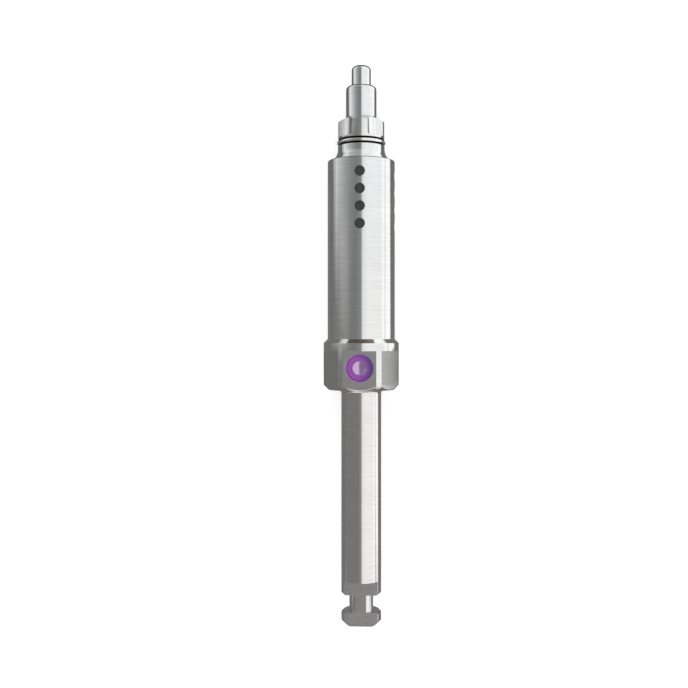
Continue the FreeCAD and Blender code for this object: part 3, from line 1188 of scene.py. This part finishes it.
@dataclass
class Studio:
    """The pale floor, the soft light, the cards that the steel mirrors, and the camera.

    Sizes are in metres and angles in degrees. Corners and heights of the cards, and the camera's distance and
    station, are in millimetres. The ramps read millimetres along the driver or across the ground, or degrees
    round the driver from straight up, positive to the right. They give a brightness, or a share of level or
    shade where the code multiplies by it, and the two edges give a place.
    """

    floor_side: float = 3.0
    floor_colour: Colour = (0.80, 0.80, 0.80)
    floor_roughness: float = 0.9
    floor_emission: float = 0.50
    reach: float = 0.30
    level: float = 1.30
    shade: float = 0.28
    lamps: tuple[Softbox, ...] = (
        Softbox("overhead_softbox", (0.03, 0, reach), (0, 0, -1), 0.6, level),
        Softbox("right_softbox", (reach, 0, 0.15), (-1, 0, 0), 0.25, 0.5),
        Softbox("left_softbox", (-reach, 0, 0.15), (1, 0, 0), 0.25, 0.5))

    warm_cloth: Colour = (1.0, 0.995, 0.98)
    cool_cloth: Colour = (0.975, 1.0, 1.025)
    cloth_change: Ramp = Ramp(-60, 60)

    tent_length: float = 2.4
    tent_half_angle: float = 91
    tent_steps: int = 96
    tent_meeting: Ramp = Ramp(3.4, 5.8)
    left_low: Ramp = Ramp(0, -90)
    left_power: float = 2.0
    left_rise: Ramp = Ramp(15, 90)
    left_fall: Ramp = Ramp(300, 500, 1, 0.28)
    left_ahead: Ramp = Ramp(250, 350, shade, shade + 0.22)
    left_behind: Ramp = Ramp(-430, -560, 0, 0.95)
    left_top: Ramp = Ramp(-14, -2, 0, 0.08)
    patch_angle: float = -59
    patch_fade: Ramp = Ramp(3, 34, 0.17, 0)
    patch_rise: Ramp = Ramp(0, 8)
    patch_fall: Ramp = Ramp(38, 58, 1, 0)
    right_panel: Ramp = Ramp(5, 24, 0.88, 1.04)
    right_band: Ramp = Ramp(76, 79, 0, 0.16)
    right_hem: Ramp = Ramp(86.5, 88, 0, 0.22)
    right_behind: Ramp = Ramp(-350, -500, 0, 0.5)

    ground_half_side: float = 0.95 * reach
    ground_height: float = 0.02
    ground_shade: Ramp = Ramp(9, 17, 0.86, 0.65)
    beyond_tip: Patch = Patch((-2.2, 2.2), (16.4, 20.6), 0.75)
    left_edge: Ramp = Ramp(10, 19, -12.5, -6.5)
    right_edge: Ramp = Ramp(12, 15, 6.9, 4.4)
    edge_blur: Ramp = Ramp(-0.5, 0.5)
    left_ground: Ramp = Ramp(4, 25, shade, 1.1)
    right_ground: Ramp = Ramp(30, 42, 1.2, 0.98)
    beside_flat: Patch = Patch((6.0, 10.5), (-3.3, 0.1), 0.62)
    right_behind_latch: Ramp = Ramp(-20, -14, 0.60, 1)
    glow_behind: Ramp = Ramp(-20, -30, 0, 0.8)
    glow_rise: Ramp = Ramp(-60, -40)
    glow_fall: Ramp = Ramp(-3, 6, 1, 0)

    end_height: float = 0.04
    end_near: tuple[Point, ...] = ((6.6, 20), (14, 42), (24, 60))
    end_far: tuple[Point, ...] = ((140, 300), (50, 300))
    end_rises: tuple[Point, ...] = ((140, 22), (50, 55))
    end_colour: Colour = (0.118, 0.088, 0.066)
    end_right: Ramp = Ramp(0.04, 0.30, 1.0, 2.4)

    camera_distance: float = 56.43
    camera_turn: float = 2.9
    level_station: float = 17.05
    focal_pixels: float = 955.0
    image_side: int = 688
    axis_pixel: Point = (361.25, 334.9)
    sensor_width: float = 36.0
    clip_range: Point = (0.001, 10.0)

    def build(self) -> None:
        """Builds the whole studio."""
        self.floor()
        self.world()
        for lamp in self.lamps:
            lamp.hang()
        self.reflection_tent()
        self.ground_card()
        self.end_card()
        self.camera()

    @staticmethod
    def _seen_as_white(wiring: Wiring) -> NodeSocket:
        """Mask that is 1 where a camera, glossy or transmission ray looks.

        Args:
            wiring: The tree that takes the nodes.

        Returns:
            The mask.
        """
        path = wiring.add("ShaderNodeLightPath").outputs
        mask = wiring.math("MAXIMUM", path["Is Camera Ray"], path["Is Glossy Ray"])
        return wiring.math("MAXIMUM", mask, path["Is Transmission Ray"])

    def floor(self) -> None:
        """Builds the pale floor, which keeps the driver's shadow."""
        made, wiring, shader = principled("pale_floor")
        glow = wiring.ranged(wiring.length(wiring.place()),
                             Ramp(self.reach, 2 * self.reach, self.floor_emission, 1))
        wiring.feed(shader, {
            "Base Color": (*self.floor_colour, 1), "Roughness": self.floor_roughness, "Specular IOR Level": 0.0,
            "Emission Color": WHITE, "Emission Strength": wiring.product(self._seen_as_white(wiring), glow)})
        mesh = bmesh.new()
        bmesh.ops.create_grid(mesh, x_segments=1, y_segments=1, size=self.floor_side / 2)
        mesh_object("floor", mesh, made)

    def world(self) -> None:
        """Sets a world that shows as white and adds no light."""
        world = bpy.data.worlds.new("white_surround")
        bpy.context.scene.world = world
        world.use_nodes = True
        wiring = Wiring(world.node_tree)
        wiring.feed(world.node_tree.nodes["Background"], {"Color": WHITE, "Strength": self._seen_as_white(wiring)})

    @staticmethod
    def _glow(name: str) -> tuple[Material, Wiring, Node]:
        """Makes an emission material.

        Args:
            name: Its name.

        Returns:
            The material, its wiring and its emission node.
        """
        made = bpy.data.materials.new(name)
        made.use_nodes = True
        made.node_tree.nodes.clear()
        wiring = Wiring(made.node_tree)
        glow = wiring.add("ShaderNodeEmission")
        wiring.add("ShaderNodeOutputMaterial", {"Surface": glow.outputs[0]})
        return made, wiring, glow

    @staticmethod
    def _hang_card(name: str, mesh: BMesh, material: Material) -> None:
        """Hangs a card that shows in reflections alone.

        Args:
            name: Its name.
            mesh: Its mesh, in metres.
            material: Its material.
        """
        card = mesh_object(name, mesh, material)
        card.visible_camera = card.visible_diffuse = card.visible_shadow = False
        card.visible_transmission = card.visible_volume_scatter = False

    def _cloth_colour(self, wiring: Wiring, y: NodeSocket) -> NodeSocket:
        """Colour of the light cloth, slightly warm beside the shank and slightly cool beside the tip.

        Args:
            wiring: The card's tree.
            y: Place along the driver, in metres.

        Returns:
            The colour.
        """
        return wiring.mixed(wiring.ranged(y, self.cloth_change, MM), self.warm_cloth, self.cool_cloth)

    def _left_side(self, wiring: Wiring, angle: NodeSocket, y: NodeSocket) -> NodeSocket:
        """Brightness of the tent's left side, which grows towards the floor and ahead of the driver.

        Args:
            wiring: The tent's tree.
            angle: Angle round the driver from straight up, positive to the right, in radians.
            y: Place along the driver, in metres.

        Returns:
            The brightness.
        """
        low = wiring.math("POWER", wiring.ranged(angle, self.left_low, DEGREE), self.left_power)
        along = wiring.product(wiring.ranged(y, self.left_rise, MM), wiring.ranged(y, self.left_fall, MM))
        ahead, behind = wiring.ranged(y, self.left_ahead, MM), wiring.ranged(y, self.left_behind, MM)
        offset = wiring.math("ABSOLUTE", wiring.math("ADD", angle, -self.patch_angle * DEGREE))
        patch = wiring.product(wiring.ranged(offset, self.patch_fade, DEGREE, kind=SMOOTH),
                               wiring.ranged(y, self.patch_rise, MM), wiring.ranged(y, self.patch_fall, MM))
        patch = wiring.total(patch, wiring.ranged(angle, self.left_top, DEGREE))
        return wiring.total(wiring.product(low, along), ahead, wiring.total(patch, behind))

    def _right_side(self, wiring: Wiring, angle: NodeSocket, y: NodeSocket) -> NodeSocket:
        """Brightness of the tent's right side: a white panel, a whiter band under it and a grey hem.

        Args:
            wiring: The tent's tree.
            angle: Angle round the driver from straight up, positive to the right, in radians.
            y: Place along the driver, in metres.

        Returns:
            The brightness.
        """
        panel, band, hem = (wiring.ranged(angle, ramp, DEGREE, self.level)
                            for ramp in (self.right_panel, self.right_band, self.right_hem))
        behind = wiring.ranged(y, self.right_behind, MM, self.level)
        return wiring.math("SUBTRACT", wiring.total(panel, band), wiring.total(hem, behind))

    def reflection_tent(self) -> None:
        """Builds the half round tent that the steel mirrors: white at the right, grey at the left."""
        mesh = bmesh.new()
        verts = [mesh.verts.new((0, y, self.reach)) for y in (-self.tent_length / 2, self.tent_length / 2)]
        edge = mesh.edges.new(verts)
        half = math.radians(self.tent_half_angle)
        bmesh.ops.rotate(mesh, verts=verts, matrix=Matrix.Rotation(half, 3, "Y"))
        bmesh.ops.spin(mesh, geom=verts + [edge], cent=(0, 0, 0), axis=(0, -1, 0), angle=2 * half,
                       steps=self.tent_steps, use_merge=False, use_duplicate=False)
        made, wiring, glow = self._glow("tent_cloth")
        x, y, z = wiring.parts(wiring.place())
        angle = wiring.math("ARCTAN2", x, z)
        left, right = self._left_side(wiring, angle, y), self._right_side(wiring, angle, y)
        share = wiring.ranged(angle, self.tent_meeting, DEGREE)
        step = wiring.product(share, wiring.math("SUBTRACT", right, left))
        wiring.feed(glow, {"Strength": wiring.total(left, step), "Color": self._cloth_colour(wiring, y)})
        self._hang_card("reflection_tent", mesh, made)

    def ground_card(self) -> None:
        """Builds the card just over the floor: dark beside the driver, bright at the right."""
        mesh = bmesh.new()
        bmesh.ops.create_grid(mesh, x_segments=1, y_segments=1, size=self.ground_half_side)
        bmesh.ops.translate(mesh, verts=mesh.verts, vec=AXIS * self.ground_height * MM)
        made, wiring, glow = self._glow("ground_card")
        x, y, _ = wiring.parts(wiring.place())
        # Painted shade: beside and under the driver the card is dark only in reflections, standing in for floor in
        # its shadow.
        dark = self.beyond_tip.dim(wiring, wiring.ranged(y, self.ground_shade, MM, self.shade), x, y)
        left_edge, right_edge = (wiring.ranged(y, ramp, MM, MM) for ramp in (self.left_edge, self.right_edge))
        left_share = wiring.ranged(wiring.math("SUBTRACT", left_edge, x), self.edge_blur, MM)
        right_share = wiring.ranged(wiring.math("SUBTRACT", x, right_edge), self.edge_blur, MM)
        left = wiring.ranged(y, self.left_ground, MM)
        right = self.beside_flat.dim(wiring, wiring.ranged(x, self.right_ground, MM, self.level), x, y)
        right = wiring.product(right, wiring.ranged(y, self.right_behind_latch, MM))
        behind = wiring.product(wiring.ranged(y, self.glow_behind, MM), wiring.product(
            wiring.ranged(x, self.glow_rise, MM), wiring.ranged(x, self.glow_fall, MM)))
        sides = wiring.total(wiring.product(left_share, wiring.math("SUBTRACT", left, dark)),
                             wiring.product(right_share, wiring.math("SUBTRACT", right, dark)))
        wiring.feed(glow, {"Strength": wiring.total(dark, sides, behind), "Color": self._cloth_colour(wiring, y)})
        self._hang_card("ground_card", mesh, made)

    @staticmethod
    def _both_sides(points: tuple[Point, ...]) -> list[Point]:
        """Points on the right with their mirror images, in order round."""
        return [*points, *((-across, other) for across, other in reversed(points))]

    def end_card(self) -> None:
        """Builds the brown card ahead of the tip, which the slopes that face that way mirror."""
        mesh = bmesh.new()
        ground = [mesh.verts.new((x * MM, y * MM, self.end_height * MM))
                  for x, y in self._both_sides(self.end_near + self.end_far)]
        mesh.faces.new(ground)
        upper = [mesh.verts.new((x * MM, self.reach, z * MM)) for x, z in self._both_sides(self.end_rises)]
        lower = ground[len(self.end_near):-len(self.end_near)]
        for corners in zip(lower, upper, upper[1:], lower[1:]):
            mesh.faces.new(corners)
        made, wiring, glow = self._glow("end_card")
        x, y, _ = wiring.parts(wiring.place())
        wiring.feed(glow, {"Strength": wiring.ranged(wiring.math("DIVIDE", x, y), self.end_right),
                           "Color": (*self.end_colour, 1)})
        self._hang_card("end_card", mesh, made)

    def camera(self) -> None:
        """Places the camera over the driver, at the photograph's angle."""
        data = bpy.data.cameras.new("camera")
        camera = bpy.data.objects.new("camera", data)
        bpy.context.scene.collection.objects.link(camera)
        bpy.context.scene.camera = camera
        data.sensor_width = self.sensor_width
        data.lens = self.focal_pixels / self.image_side * data.sensor_width
        data.clip_start, data.clip_end = self.clip_range
        middle = self.image_side / 2
        data.shift_x = (middle - self.axis_pixel[0]) / self.image_side
        data.shift_y = (self.axis_pixel[1] - middle) / self.image_side
        turn = math.radians(self.camera_turn)
        up, front = ((LAID_DOWN.to_3x3() @ way).normalized() for way in (AXIS, FRONT))
        back = (front * math.cos(turn) + Vector((1, 0, 0)) * math.sin(turn)).normalized()
        face_away(camera, up, back)
        camera.location = laid(0, 0, self.level_station) + back * self.camera_distance * MM


def main() -> None:
    """Builds the driver and its studio."""
    logging.basicConfig(level=logging.INFO, format="%(name)s %(message)s")
    bpy.context.scene.view_settings.view_transform = "Standard"
    SteelBody().build()
    SpringRing().build()
    ColourDimple().build()
    DepthDots().build()
    Studio().build()


if __name__ == "__main__":
    main()
